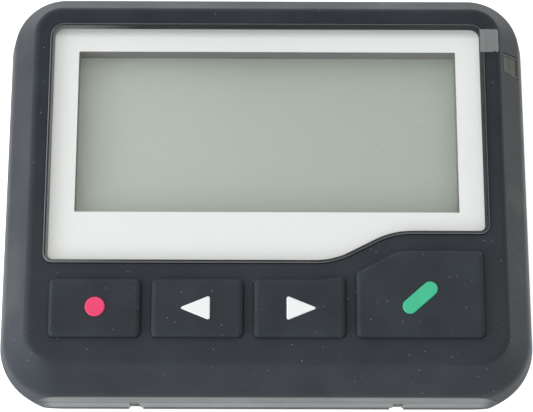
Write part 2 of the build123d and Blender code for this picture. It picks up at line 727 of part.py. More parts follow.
with BuildPart() as processor_chip:
    slab(-24, -12, -2, 10, PCB_UNDER_Z - 1.2, 1.2)
    chamfer(processor_chip.faces().sort_by(Axis.Z)[0].edges(), 0.15)
    # The leads fold down to the board on all four sides.
    for index in range(10):
        step = 1.0 * (index - 4.5)
        slab(-24.7, -23.99, 4 + step - 0.2, 4 + step + 0.2, PCB_UNDER_Z - 0.3, 0.3, 0.05)
        slab(-12.01, -11.3, 4 + step - 0.2, 4 + step + 0.2, PCB_UNDER_Z - 0.3, 0.3, 0.05)
        slab(-18 + step - 0.2, -18 + step + 0.2, -2.7, -1.99, PCB_UNDER_Z - 0.3, 0.3, 0.05)
        slab(-18 + step - 0.2, -18 + step + 0.2, 9.99, 10.7, PCB_UNDER_Z - 0.3, 0.3, 0.05)
write(processor_chip, "processor_chip")

with BuildPart() as radio_shield:
    slab(17, 34, 4.5, 22, PCB_UNDER_Z - 2.4, 2.4, 1)
    fillet(radio_shield.faces().sort_by(Axis.Z)[0].edges(), 0.3)
    with BuildSketch(Plane.XY.offset(PCB_UNDER_Z - 2.4)):
        with Locations((25.5, 13.25)):
            with GridLocations(3.4, 3.4, 4, 4):
                Circle(0.6)
    extrude(amount=0.2, mode=Mode.SUBTRACT)
    slab(17.2, 33.8, 4.7, 21.8, PCB_UNDER_Z - 2.2, 0.01, 0.8)
    with BuildSketch(Plane.XY.offset(PCB_UNDER_Z)):
        with Locations((25.5, 13.25)):
            RectangleRounded(16.6, 17.1, 0.8)
    extrude(amount=-2.2, mode=Mode.SUBTRACT)
write(radio_shield, "radio_shield")

with BuildPart() as crystal_can:
    with BuildSketch(Plane.XY.offset(PCB_UNDER_Z - 2.6)):
        with Locations((18, -22)):
            SlotOverall(9, 3.8)
    extrude(amount=2.4)
    fillet(crystal_can.faces().sort_by(Axis.Z)[0].edges(), 0.4)
    with BuildSketch(Plane.XY.offset(PCB_UNDER_Z - 0.2)):
        with Locations((18, -22)):
            SlotOverall(10, 4.8)
    extrude(amount=0.2)
write(crystal_can, "crystal_can")

# A flat strip bent into a long loop that stands on the board above the display.
with BuildPart() as loop_antenna:
    with BuildSketch(Plane.XY.offset(PCB_TOP_Z)):
        with Locations((0, 28.0)):
            RectangleRounded(60, 3.0, 1.4)
            RectangleRounded(59.2, 2.2, 1.0, mode=Mode.SUBTRACT)
        with Locations((0, 26.5)):
            Rectangle(3, 1.2, mode=Mode.SUBTRACT)
    extrude(amount=2.8)
write(loop_antenna, "loop_antenna")

with BuildPart() as buzzer:
    with BuildSketch(Plane.XY.offset(FLOOR_Z + 0.1)):
        with Locations(BUZZER_XY):
            Circle(BUZZER_R)
    extrude(amount=BUZZER_H)
    fillet(buzzer.edges().filter_by(GeomType.CIRCLE), 0.3)
    with BuildSketch(Plane.XY.offset(FLOOR_Z + 0.1)):
        with Locations(BUZZER_XY):
            Circle(1.2)
    extrude(amount=1.2, mode=Mode.SUBTRACT)
    for side in (-1, 1):
        with BuildSketch(Plane.XY.offset(FLOOR_Z + 0.1 + BUZZER_H - 0.01)):
            with Locations((BUZZER_XY[0] + side * 3.2, BUZZER_XY[1])):
                Circle(0.35)
        extrude(amount=PCB_UNDER_Z - FLOOR_Z - 0.1 - BUZZER_H + 0.01)
write(buzzer, "buzzer")

# ---------------------------------------------------------------- the vibrating motor
MOTOR_PLANE = Plane(origin=(0, MOTOR_Y, MOTOR_Z), x_dir=(0, 1, 0), z_dir=(1, 0, 0))

with BuildPart() as motor_can:
    with BuildSketch(MOTOR_PLANE.offset(MOTOR_X[0])):
        Circle(MOTOR_R)
    extrude(amount=MOTOR_X[1] - MOTOR_X[0])
    fillet(motor_can.edges().filter_by(GeomType.CIRCLE), 0.35)
    with BuildSketch(MOTOR_PLANE.offset(MOTOR_X[1])):
        Circle(1.1)
    extrude(amount=0.4)
    with BuildSketch(MOTOR_PLANE.offset(MOTOR_X[1] + 1)):
        Circle(SHAFT_R + 0.05)
    extrude(amount=-5, mode=Mode.SUBTRACT)
write(motor_can, "motor_can")

with BuildPart() as motor_cradle:
    slab(-13, -4.6, MOTOR_Y - 4.2, MOTOR_Y + 4.2, FLOOR_Z, 4.8, 0.6)
    with BuildSketch(MOTOR_PLANE.offset(-20)):
        Circle(MOTOR_R)
    extrude(amount=20, mode=Mode.SUBTRACT)
write(motor_cradle, "motor_cradle")

with BuildPart() as motor_shaft:
    with BuildSketch(MOTOR_PLANE.offset(MOTOR_X[1] - 3.8)):
        Circle(SHAFT_R)
    extrude(amount=WEIGHT_X[1] + 0.3 - MOTOR_X[1] + 3.8)
write(motor_shaft, "motor_shaft")

with BuildPart() as motor_weight:
    with BuildSketch(MOTOR_PLANE.offset(WEIGHT_X[0])):
        Circle(WEIGHT_R)
        with Locations((0, 0.6)):
            Rectangle(8, 8, align=(Align.CENTER, Align.MIN), mode=Mode.SUBTRACT)
        Circle(1.2)
        Circle(SHAFT_R, mode=Mode.SUBTRACT)
    extrude(amount=WEIGHT_X[1] - WEIGHT_X[0])
write(motor_weight, "motor_weight")

# ---------------------------------------------------------------- the battery
BATTERY_Z = FLOOR_Z + PAD_T

with BuildPart() as battery_pad:
    with BuildSketch(Plane.XY.offset(FLOOR_Z)):
        with Locations(BATTERY_XY):
            RectangleRounded(BATTERY[0] - 8, BATTERY[1] - 8, 1)
    extrude(amount=PAD_T)
write(battery_pad, "battery_pad")

with BuildPart() as battery_pack:
    with BuildSketch(Plane.XY.offset(BATTERY_Z)):
        with Locations(BATTERY_XY):
            RectangleRounded(BATTERY[0], BATTERY[1], 2.2)
    extrude(amount=BATTERY[2])
    fillet(battery_pack.faces().sort_by(Axis.Z)[-1].edges(), 1.0)
    fillet(battery_pack.faces().sort_by(Axis.Z)[0].edges(), 1.0)
write(battery_pack, "battery_pack")

CONNECTOR = (15.6, 20.2, -2.5, 2.5)
with BuildPart() as battery_connector:
    slab(*CONNECTOR, PCB_UNDER_Z - 3.0, 3.0, 0.2)
    with BuildSketch(Plane.XZ.offset(-CONNECTOR[2])):
        with Locations((17.9, PCB_UNDER_Z - 1.5)):
            Rectangle(3.6, 2.4)
    extrude(amount=-3.0, mode=Mode.SUBTRACT)
write(battery_connector, "battery_connector")


def lead(points, bend_r, wire_r):
    """A wire along straight runs joined by arcs."""
    with BuildLine() as path:
        FilletPolyline(*points, radius=bend_r)
    with BuildSketch(Plane(origin=path.line @ 0, z_dir=path.line % 0)) as section:
        Circle(wire_r)
    sweep(section.sketch, path=path.line)


BATTERY_END_X = BATTERY_XY[0] + BATTERY[0] / 2
with BuildPart() as battery_leads:
    for step in (0, 1):
        x, y = 17.2 + 1.5 * step, -7.0 - 1.5 * step
        lead([(BATTERY_END_X, y, 11.3), (x, y, 11.3), (x, -1.0, 14.3)], 1.4, 0.45)
write(battery_leads, "battery_leads")

with BuildPart() as motor_leads:
    for step in (-1, 1):
        lead(
            [
                (MOTOR_X[0], MOTOR_Y + 1.2 * step, MOTOR_Z - 0.8),
                (-17.5, MOTOR_Y + 1.2 * step, MOTOR_Z - 0.8),
                (-17.5, MOTOR_Y + 1.2 * step, PCB_UNDER_Z),
            ],
            1.6,
            0.35,
        )
write(motor_leads, "motor_leads")

# ---------------------------------------------------------------- the charging contacts
with BuildPart() as charge_contacts:
    pad_y = FOOT_Y + CONTACT_DEPTH
    tail_y = -30.3
    leaf_z = CONTACT_Z[1] - 0.9 + 0.05
    for side in (-1, 1):
        left, right = side * CONTACT_X - CONTACT_W / 2 + 0.05, side * CONTACT_X + CONTACT_W / 2 - 0.05
        slab(left, right, FOOT_Y + 0.15, pad_y, CONTACT_Z[0] + 0.05, CONTACT_Z[1] - CONTACT_Z[0] - 0.1, 0.1)
        slab(left, right, pad_y - 0.1, tail_y, leaf_z, LEAF_T, 0.02)
        slab(left, right, tail_y - LEAF_T, tail_y, leaf_z, PCB_UNDER_Z - leaf_z, 0.1)
write(charge_contacts, "charge_contacts")

# ---------------------------------------------------------------- the belt clip
with BuildPart() as belt_clip:
    with BuildSketch(Plane.XY):
        with Locations((0, (CLIP_LOW + CLIP_HIGH) / 2)):
            RectangleRounded(CLIP_W, CLIP_HIGH - CLIP_LOW, 4)
    extrude(amount=CLIP_T)
    fillet(belt_clip.faces().sort_by(Axis.Z)[0].edges(), 0.8)
    # The toe at the jaw's end bends up to rest on the back.
    with BuildSketch(Plane.YZ):
        with BuildLine():
            Polyline(
                (CLIP_LOW + 0.6, 1.4),
                (CLIP_LOW + 4.6, 1.4),
                (CLIP_LOW + 4.0, 4.2),
                (CLIP_LOW + 3.4, BACK_Z - 0.05),
                (CLIP_LOW + 1.4, BACK_Z - 0.05),
                (CLIP_LOW + 0.6, 4.2),
                close=True,
            )
        toe = make_face()
        fillet(toe.vertices().filter_by_position(Axis.Y, BACK_Z - 0.1, BACK_Z), 0.6)
    extrude(amount=CLIP_W / 2 - 4.2, both=True)
    # Grip ribs inside the jaw and on the thumb end.
    for y in (-19.5, -17.5, -15.5):
        with BuildSketch(Plane.XY.offset(CLIP_T - 0.1)):
            with Locations((0, y)):
                RectangleRounded(16, 0.8, 0.3)
        extrude(amount=0.4)
    for y in (17.5, 19.5, 21.5):
        with BuildSketch(Plane.XY):
            with Locations((0, y)):
                SlotOverall(15, 0.9)
        extrude(amount=0.35, mode=Mode.SUBTRACT)
    # Ears that hold the pin.
    for side in (-1, 1):
        with BuildSketch(Plane.YZ.offset(side * (EAR_X[0] + EAR_X[1]) / 2)):
            with Locations((PIN_Y, PIN_Z)):
                Circle(EAR_R)
            with Locations((PIN_Y, PIN_Z)):
                Rectangle(2 * EAR_R, PIN_Z - 1.2, align=(Align.CENTER, Align.MAX))
        extrude(amount=(EAR_X[1] - EAR_X[0]) / 2, both=True)
    with BuildSketch(Plane.YZ):
        with Locations((PIN_Y, PIN_Z)):
            Circle(PIN_R)
    extrude(amount=CLIP_W, both=True, mode=Mode.SUBTRACT)
write(belt_clip, "belt_clip")

with BuildPart() as clip_pin:
    with BuildSketch(Plane.YZ):
        with Locations((PIN_Y, PIN_Z)):
            Circle(PIN_R)
    extrude(amount=EAR_X[1], both=True)
    chamfer(clip_pin.edges().filter_by(GeomType.CIRCLE), 0.2)
write(clip_pin, "clip_pin")

# Wound upright, then laid along the pin with its long leg flat on the clip's plate. The short leg
# leans away from the back by the angle through which the clip opens.
with BuildPart() as wound_spring:
    turns = SPRING_TURNS + CLIP_OPEN / 360
    rise = SPRING_PITCH * turns
    lean = math.radians(CLIP_OPEN)
    end_x, end_y = -SPRING_R * math.cos(lean), -SPRING_R * math.sin(lean)
    with BuildLine() as coil:
        Helix(SPRING_PITCH, rise, SPRING_R)
    with BuildSketch(Plane(origin=coil.line @ 0, z_dir=coil.line % 0)):
        Circle(SPRING_WIRE_R)
    sweep(path=coil.line)
    for start, way, length in (
        (Vector(SPRING_R, 0, 0), Vector(0, -1, 0), SPRING_SHORT_LEG),
        (Vector(end_x, end_y, rise), Vector(math.sin(lean), -math.cos(lean), 0), SPRING_LEG),
    ):
        with BuildSketch(Plane(origin=start - 0.12 * way, z_dir=way)):
            Circle(0.95 * SPRING_WIRE_R)
        extrude(amount=length + 0.12)

with BuildPart() as clip_spring:
    leaning = (0, math.sin(lean), math.cos(lean))
    bed = Plane(origin=(-rise / 2, PIN_Y, PIN_Z), x_dir=leaning, z_dir=(1, 0, 0))
    with Locations(bed.location):
        add(wound_spring.part)
write(clip_spring, "clip_spring")
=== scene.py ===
"""The looks of a pocket text pager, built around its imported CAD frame. Lengths are in metres."""

import math

import bpy
from mathutils import Matrix, Vector


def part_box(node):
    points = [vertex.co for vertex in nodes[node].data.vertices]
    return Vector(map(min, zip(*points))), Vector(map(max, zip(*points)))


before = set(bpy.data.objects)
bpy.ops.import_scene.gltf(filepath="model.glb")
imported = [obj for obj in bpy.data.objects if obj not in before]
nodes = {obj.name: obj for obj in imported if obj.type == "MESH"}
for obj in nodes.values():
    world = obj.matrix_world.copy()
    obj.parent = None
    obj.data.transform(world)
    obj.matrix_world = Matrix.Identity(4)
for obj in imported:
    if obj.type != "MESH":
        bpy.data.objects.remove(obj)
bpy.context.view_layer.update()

MM = 0.001

# Where things are, read from the frame.
case_low, case_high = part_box("front_shell")
FACE_Z = case_high.z
LENS_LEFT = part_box("display_lens")[0].x
LEDGE_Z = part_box("lens_tape")[0].z  # the ledge that the window is taped to
FOOT_LIP_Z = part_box("charge_contacts")[0].z + 0.1 * MM  # where the flat foot turns under
FOOT_END = 35.6 * MM  # half the length of the foot's smooth flat
TAB_LOW = 21.05 * MM  # the lower edge of the film's pull tab

CHARCOAL = (0.0228, 0.0268, 0.033, 1)  # the case


# ---------------------------------------------------------------- node helpers
def rgb(red, green, blue):
    """A linear colour from one given as 0 to 255 screen values."""
    return tuple(
        (v / 255 / 12.92) if v <= 10 else ((v / 255 + 0.055) / 1.055) ** 2.4
        for v in (red, green, blue)
    ) + (1.0,)


class Graph:
    """A node tree under construction: short calls that add and join nodes."""

    def __init__(self, owner):
        owner.use_nodes = True
        self.tree = owner.node_tree
        self.tree.nodes.clear()

    def node(self, kind, inputs=None, **props):
        made = self.tree.nodes.new(kind)
        for key, value in props.items():
            setattr(made, key, value)
        for key, value in (inputs or {}).items():
            if isinstance(value, bpy.types.NodeSocket):
                self.tree.links.new(value, made.inputs[key])
            else:
                made.inputs[key].default_value = value
        return made

    def math(self, operation, a, b=0.0):
        return self.node("ShaderNodeMath", {0: a, 1: b}, operation=operation).outputs[0]

    def remap(self, value, low, high, to_low=0.0, to_high=1.0):
        return self.node(
            "ShaderNodeMapRange",
            {0: value, 1: low, 2: high, 3: to_low, 4: to_high},
            clamp=True,
        ).outputs[0]

    def mix(self, factor, a, b):
        """Colour b over colour a by factor."""
        made = self.node("ShaderNodeMix", {0: factor}, data_type="RGBA")
        for socket, value in ((made.inputs[6], a), (made.inputs[7], b)):
            if isinstance(value, bpy.types.NodeSocket):
                self.tree.links.new(value, socket)
            else:
                socket.default_value = value
        return made.outputs[2]


class Surface(Graph):
    """A material, worked out from the place of the point being shaded."""

    def __init__(self, name):
        self.material = bpy.data.materials.new(name)
        super().__init__(self.material)
        self.out = self.node("ShaderNodeOutputMaterial")
        self.place = self.node("ShaderNodeTexCoord").outputs["Object"]
        self.bumps = None

    def noise(self, size, detail=3.0, rough=0.5, where=None):
        """Soft noise whose blobs are about size metres across, from 0 to 1."""
        inputs = {"Vector": where or self.place, "Scale": 1 / size}
        inputs.update({"Detail": detail, "Roughness": rough})
        return self.node("ShaderNodeTexNoise", inputs).outputs["Fac"]

    def cells(self, size):
        """Random points about size metres apart: how far the nearest is, and its own colour."""
        inputs = {"Vector": self.place, "Scale": 1 / size}
        return self.node("ShaderNodeTexVoronoi", inputs, feature="F1")

    def vector_math(self, operation, output, *values):
        inputs = dict(enumerate(values))
        return self.node("ShaderNodeVectorMath", inputs, operation=operation).outputs[output]

    def axis(self, index):
        """One coordinate of the point being shaded, in metres."""
        return self.node("ShaderNodeSeparateXYZ", {0: self.place}).outputs[index]

    def upright(self):
        """How far the surface faces up or down: 1 where it is level, 0 where it stands on edge."""
        normal = self.node("ShaderNodeNewGeometry").outputs["True Normal"]
        return self.math("ABSOLUTE", self.node("ShaderNodeSeparateXYZ", {0: normal}).outputs[2])

    def bump(self, height, depth):
        """Adds a relief of the given depth in metres to the surface."""
        inputs = {"Height": height, "Distance": depth, "Strength": 1.0}
        if self.bumps is not None:
            inputs["Normal"] = self.bumps
        self.bumps = self.node("ShaderNodeBump", inputs).outputs["Normal"]

    def specks(self, size, chance):
        """Sparse round dots, 1 inside and 0 outside: dust, or blemishes in a moulding."""
        cells = self.cells(size)
        dot = self.remap(cells.outputs["Distance"], 0.07, 0.03)
        pick = self.node("ShaderNodeSeparateColor", {0: cells.outputs["Color"]}).outputs[0]
        return self.math("MULTIPLY", dot, self.math("LESS_THAN", pick, chance))

    def principled(self, color, rough, **more):
        inputs = {"Base Color": color, "Roughness": rough}
        inputs.update({key.replace("_", " "): value for key, value in more.items()})
        if self.bumps is not None:
            inputs["Normal"] = self.bumps
        return self.node("ShaderNodeBsdfPrincipled", inputs).outputs[0]

    def finish(self, shader):
        self.tree.links.new(shader, self.out.inputs["Surface"])
        return self.material


def wear(*names, material):
    """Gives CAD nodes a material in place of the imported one."""
    for name in names:
        slots = nodes[name].data.materials
        slots.clear()
        slots.append(material)


# ---------------------------------------------------------------- materials
# Painted reflections on the flanks: each lighter patch's centre, and how far it reaches each way.
LEFT_SHEEN = (-42.5 * MM, -15 * MM, 20.5 * MM), (5.6 * MM, 8.0 * MM, 6.0 * MM)
RIGHT_SHEEN = (40.4 * MM, -2.4 * MM, 20 * MM), (4.2 * MM, 2.4 * MM, 4 * MM)


def painted_flank_sheen(s):
    """The ragged lighter patches on the flanks, painted reflections: 1 in their middles, 0 outside.
    """
    patches = []
    for centre, radii in (LEFT_SHEEN, RIGHT_SHEEN):
        offset = s.vector_math("SUBTRACT", 0, s.place, centre)
        scaled = s.vector_math("DIVIDE", 0, offset, radii)
        reach = s.vector_math("LENGTH", "Value", scaled)
        ragged = s.math("ADD", reach, s.math("MULTIPLY", s.noise(5 * MM, 5.0, 0.65), 1.3))
        patches.append(s.remap(ragged, 1.8, 1.25))
    return s.math("MAXIMUM", *patches)


def painted_face_light(s):
    """The face is painted paler towards the keys: painted light standing in for the brighter light
    it catches there.
    """
    rise = s.remap(s.axis(1), 10 * MM, -22 * MM, 0.0, 0.11)
    on_face = s.remap(s.axis(2), FACE_Z - 0.6 * MM, FACE_Z - 0.1 * MM)
    return s.math("MULTIPLY", rise, on_face)


def painted_ledge_light(s):
    """Painted light: a pale grey band on the window's ledge beside the print on the left, standing
    in for light seen in the lens's clear edge.
    """
    off = s.math("ABSOLUTE", s.math("SUBTRACT", s.axis(2), LEDGE_Z))
    level = s.math("LESS_THAN", off, 0.05 * MM)
    ledge = s.math("MULTIPLY", level, s.math("GREATER_THAN", s.upright(), 0.9))
    ledge = s.math("MULTIPLY", ledge, s.math("GREATER_THAN", s.axis(0), LENS_LEFT + 0.25 * MM))
    left = s.remap(s.axis(0), LENS_LEFT + 2 * MM, LENS_LEFT + 14 * MM, 1.0, 0.0)
    return s.math("MULTIPLY", ledge, left)


def smooth_foot_sheen(s):
    """The flat foot of the case, between its rounded ends and above its lip: smoother there, and
    painted paler as a painted reflection of the bright floor.
    """
    flat = s.remap(s.axis(1), case_low.y + 0.1 * MM, case_low.y + 0.04 * MM)
    ends = s.remap(s.math("ABSOLUTE", s.axis(0)), FOOT_END - 1.6 * MM, FOOT_END, 1.0, 0.0)
    lip = s.remap(s.axis(2), FOOT_LIP_Z, FOOT_LIP_Z + 0.4 * MM)
    return s.math("MULTIPLY", s.math("MULTIPLY", flat, ends), lip)


def satin_plastic(name, color, rough, grain=0.16 * MM, foot=None):
    """Fine-textured moulded plastic with slight smudges and a little dust.

    foot is the paler tone painted on the flat, smooth foot as a reflection of the bright floor, and
    is given for the case's two shells, which also get painted light on the face, the window's ledge
    and the flanks.
    """
    s = Surface(name)
    s.bump(s.noise(grain, 2.0), 0.006 * MM)
    smudge = s.noise(14 * MM, 4.0, 0.6)
    roughness = s.remap(smudge, 0.3, 0.7, rough - 0.05, rough + 0.05)
    shade = s.remap(s.noise(6 * MM, 5.0), 0.3, 0.7)
    body = s.mix(shade, color, tuple(c * 1.3 for c in color[:3]) + (1.0,))
    if foot is not None:
        # Painted light: the face painted paler towards the keys.
        body = s.mix(painted_face_light(s), body, (0.10, 0.105, 0.11, 1))
        # Painted light: a pale grey band on the ledge, left of the print, for the lens's clear
        # edge.
        body = s.mix(painted_ledge_light(s), body, (0.45, 0.45, 0.46, 1))
        # Painted reflections: lighter patches on the flanks.
        body = s.mix(s.math("MULTIPLY", painted_flank_sheen(s), 0.55), body, (0.062, 0.064, 0.064, 1))
        # Painted reflection: the flat foot is painted paler, most in its middle, for the bright
        # floor; its lower roughness is real.
        tone = smooth_foot_sheen(s)
        middle = s.remap(s.math("ABSOLUTE", s.axis(0)), 8 * MM, 36 * MM, 1.0, 0.7)
        body = s.mix(s.math("MULTIPLY", tone, middle), body, foot)
        roughness = s.math("SUBTRACT", roughness, s.math("MULTIPLY", tone, 0.15))
    dust = s.math("MULTIPLY", s.specks(1.2 * MM, 0.55), 0.8)
    body = s.mix(dust, body, (0.42, 0.44, 0.47, 1))
    return s.finish(s.principled(body, roughness, IOR=1.22))


def plain_plastic(name, color, rough, mottle=0.08):
    """Moulded or coated plastic with a faint mottle and grain."""
    s = Surface(name)
    s.bump(s.noise(0.3 * MM, 2.0), 0.004 * MM)
    darker = tuple(c * (1 - mottle) for c in color[:3]) + (1.0,)
    body = s.mix(s.remap(s.noise(3 * MM, 4.0), 0.35, 0.65), darker, color)
    roughness = s.remap(s.noise(5 * MM), 0.3, 0.7, rough - 0.04, rough + 0.04)
    return s.finish(s.principled(body, roughness))


def metal(name, color, rough, brushed=None):
    """Metal with a drawn or brushed grain along one axis and small tarnish."""
    s = Surface(name)
    where = s.place
    if brushed is not None:
        scale = [1.0, 1.0, 1.0]
        scale[brushed] = 0.04
        where = s.node("ShaderNodeMapping", {"Vector": s.place, "Scale": scale}).outputs[0]
    s.bump(s.noise(0.12 * MM, 2.0, where=where), 0.004 * MM)
    tarnish = s.remap(s.noise(2.5 * MM, 5.0), 0.4, 0.75)
    body = s.mix(tarnish, color, tuple(c * 0.72 for c in color[:3]) + (1.0,))
    roughness = s.remap(tarnish, 0, 1, rough, rough + 0.15)
    return s.finish(s.principled(body, roughness, Metallic=1.0))


def clear_sheet(name, tint, rough, haze=0.0, haze_color=(0.5, 0.5, 0.5, 1), shine=0.04):
    """A thin clear plate or film: light passes straight through, it shines, haze clouds it.

    haze is a number or, to cloud only part of the sheet, a function of the surface.
    """
    s = Surface(name)
    s.bump(s.noise(9 * MM, 2.0), 0.01 * MM)
    smear = s.remap(s.noise(7 * MM, 6.0, 0.65), 0.45, 0.75, rough, rough + 0.08)
    gloss = s.node("ShaderNodeBsdfGlossy", {"Roughness": smear, "Normal": s.bumps}).outputs[0]
    through = s.node("ShaderNodeBsdfTransparent", {"Color": tint}).outputs[0]
    cloud = s.node("ShaderNodeBsdfDiffuse", {"Color": haze_color}).outputs[0]
    amount = haze(s) if callable(haze) else haze
    body = s.node("ShaderNodeMixShader", {0: amount, 1: through, 2: cloud}).outputs[0]
    facing = s.node("ShaderNodeLayerWeight", {"Blend": 0.5}).outputs["Facing"]
    steep = s.math("POWER", facing, 5.0)
    share = s.remap(steep, 0.0, 1.0, shine, 1.0)
    return s.finish(s.node("ShaderNodeMixShader", {0: share, 1: body, 2: gloss}).outputs[0])


def solid_acrylic(name, tint, rough):
    """A thick clear moulding with a painted dark rim: it bends what is seen through it and lets
    light in.

    Its upright sides are painted dark as shade, and the chamfer round its top is painted matt pale
    as a thin highlight line.
    """
    s = Surface(name)
    s.bump(s.noise(9 * MM, 2.0), 0.008 * MM)
    smear = s.remap(s.noise(7 * MM, 6.0, 0.65), 0.45, 0.75, rough, rough + 0.02)
    bent = s.principled(tint, smear, Transmission_Weight=1.0, IOR=1.49)
    open_way = s.node("ShaderNodeBsdfTransparent", {"Color": (0.99, 0.99, 0.99, 1)}).outputs[0]
    path = s.node("ShaderNodeLightPath").outputs
    lit = s.math("MAXIMUM", path["Is Shadow Ray"], path["Is Diffuse Ray"])
    clear = s.node("ShaderNodeMixShader", {0: lit, 1: bent, 2: open_way}).outputs[0]
    lean = s.upright()
    # Painted shade on the lens's upright sides and a painted highlight on its chamfer.
    side, chamfer = (0.008, 0.008, 0.009, 1), (0.14, 0.14, 0.15, 1)
    rim = s.principled(s.mix(s.math("GREATER_THAN", lean, 0.3), side, chamfer), 0.5)
    edge = s.math("LESS_THAN", lean, 0.97)
    return s.finish(s.node("ShaderNodeMixShader", {0: edge, 1: clear, 2: rim}).outputs[0])


def printed_frame(name, color):
    """The white print behind the lens, with painted shade close under the upper edge of its window,
    where the case's rim would shadow it.
    """
    s = Surface(name)
    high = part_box("lens_print_frame")[1]
    s.bump(s.noise(0.3 * MM, 2.0), 0.002 * MM)
    # Painted shade: a bluish-grey band just under the window's upper edge.
    shade = s.remap(s.axis(1), high.y - 1.5 * MM, high.y - 0.4 * MM, 0.0, 0.62)
    body = s.mix(shade, color, tuple(c * 0.45 for c in color[:2]) + (color[2] * 0.47, 1.0))
    rough = s.remap(s.noise(5 * MM), 0.3, 0.7, 0.36, 0.44)
    return s.finish(s.principled(body, rough))


def smoked(name, color, rough):
    """The alert light's smoky window: ribs behind it make upright bands."""
    s = Surface(name)
    low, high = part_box("alert_light_window")
    across = s.remap(s.axis(0), low.x, high.x)
    rib = s.math("ABSOLUTE", s.math("SUBTRACT", across, 0.62))
    s.bump(s.noise(0.2 * MM, 2.0), 0.004 * MM)
    bands = s.mix(s.remap(rib, 0.04, 0.12), tuple(c * 0.55 for c in color[:3]) + (1.0,), color)
    body = s.mix(s.remap(s.noise(1.2 * MM, 3.0), 0.35, 0.7, 0.0, 0.35), bands, CHARCOAL)
    return s.finish(s.principled(body, rough, Transmission_Weight=0.1, IOR=1.3))


front_plastic = satin_plastic("case_plastic", CHARCOAL, 0.5, foot=(0.072, 0.073, 0.076, 1))
rear_plastic = satin_plastic("rear_plastic", CHARCOAL, 0.5, foot=(0.118, 0.118, 0.119, 1))
clip_plastic = satin_plastic("clip_plastic", CHARCOAL, 0.45)
key_rubber = satin_plastic("key_rubber", (0.0282, 0.0325, 0.0395, 1), 0.55, grain=0.2 * MM)

wear("front_shell", material=front_plastic)
wear("rear_shell", material=rear_plastic)
wear("belt_clip", material=clip_plastic)
wear(*[n for n in nodes if n.startswith("key_") and "web" not in n], material=key_rubber)
wear("legend_red_dot", material=plain_plastic("red_ink", rgb(240, 62, 112), 0.45))
wear("legend_green_bar", material=plain_plastic("green_ink", rgb(60, 188, 142), 0.45))
white_ink = plain_plastic("white_ink", rgb(237, 237, 237), 0.5, mottle=0.03)
wear("legend_left_arrow", "legend_right_arrow", material=white_ink)
wear("lens_print_frame", material=printed_frame("lens_print", rgb(248, 248, 247)))
wear("display_lens", material=solid_acrylic("lens_acrylic", (1, 1, 1, 1), 0.0))


def tab_haze(s):
    """The pull tab is frosted from the print's edge outwards; the film is nearly clear."""
    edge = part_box("lens_print_frame")[1].x
    beyond = s.remap(s.axis(0), edge, edge + 0.1 * MM)
    level = s.remap(s.axis(1), TAB_LOW - 0.08 * MM, TAB_LOW + 0.08 * MM)
    return s.remap(s.math("MULTIPLY", beyond, level), 0.0, 1.0, 0.004, 0.142)


frosting = (0.77, 0.77, 0.78, 1)
film = clear_sheet("cover_film", (1, 1, 1, 1), 0.1, haze=tab_haze, haze_color=frosting, shine=0.003)
wear("protective_film", material=film)
wear("alert_light_window", material=smoked("smoke_window", (0.05, 0.048, 0.031, 1), 0.45))

silicone = plain_plastic("silicone", (0.22, 0.23, 0.24, 1), 0.6)
wear("keypad_mat", *[n for n in nodes if "web" in n], material=silicone)
carbon = plain_plastic("carbon", (0.012, 0.012, 0.013, 1), 0.7)
wear("zebra_strip", *[n for n in nodes if "pill" in n], material=carbon)
foam = plain_plastic("black_foam", (0.02, 0.02, 0.021, 1), 0.8)
wear("lens_tape", "battery_pad", "motor_cradle", material=foam)
wear("dust_gasket", material=plain_plastic("gasket_foam", (0.235, 0.23, 0.218, 1), 0.7))
resin = plain_plastic("moulded_chip", (0.018, 0.018, 0.02, 1), 0.45)
wear("buzzer", "processor_chip", material=resin)
white = plain_plastic("white_plastic", (0.78, 0.78, 0.75, 1), 0.45)
wear("lcd_frame", "lcd_reflector", "lcd_diffuser", "battery_connector", material=white)
wear("backlight_guide", material=clear_sheet("light_guide", (0.93, 0.97, 0.92, 1), 0.1))
glass = clear_sheet("lcd_glass", (0.96, 0.98, 0.97, 1), 0.02)
wear("lcd_rear_glass", "lcd_front_glass", material=glass)
wear("backlight_leds", "alert_led", material=plain_plastic("led", (0.8, 0.76, 0.5, 1), 0.25))


def display_film():
    """The display's top film: grey-green, a little darker to the right, with a faint dot matrix."""
    s = Surface("lcd_film")
    low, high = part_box("lcd_polariser")
    across = s.remap(s.axis(0), low.x, high.x)
    base = s.mix(across, rgb(193, 200, 189), rgb(174, 183, 170))
    pitch = 0.55 * MM
    grid = []
    for index in (0, 1):
        turn = s.math("MULTIPLY", s.axis(index), math.pi / pitch)
        wave = s.math("ABSOLUTE", s.math("SINE", turn))
        grid.append(s.remap(wave, 0.0, 0.25, 1.0, 0.0))
    lines = s.math("MULTIPLY", s.math("MAXIMUM", grid[0], grid[1]), 0.03)
    body = s.mix(lines, base, rgb(120, 130, 118))
    body = s.mix(s.math("MULTIPLY", s.specks(3.5 * MM, 0.16), 0.35), body, (0.8, 0.85, 0.8, 1))
    s.bump(s.noise(0.08 * MM, 1.0), 0.002 * MM)
    return s.finish(s.principled(body, 0.35))


wear("lcd_polariser", material=display_film())


def board():
    """Green solder mask over copper tracks, with vias."""
    s = Surface("pcb")
    tracks = s.node(
        "ShaderNodeTexBrick",
        {"Vector": s.place, "Scale": 1 / (3.2 * MM), "Mortar Size": 0.05, "Row Height": 0.3},
        offset=0.37,
    ).outputs["Fac"]
    via = s.remap(s.cells(2.2 * MM).outputs["Distance"], 0.16, 0.12)
    s.bump(tracks, 0.02 * MM)
    mask = s.mix(tracks, (0.008, 0.075, 0.03, 1), (0.02, 0.13, 0.05, 1))
    body = s.mix(via, mask, (0.65, 0.6, 0.45, 1))
    return s.finish(s.principled(body, 0.3))


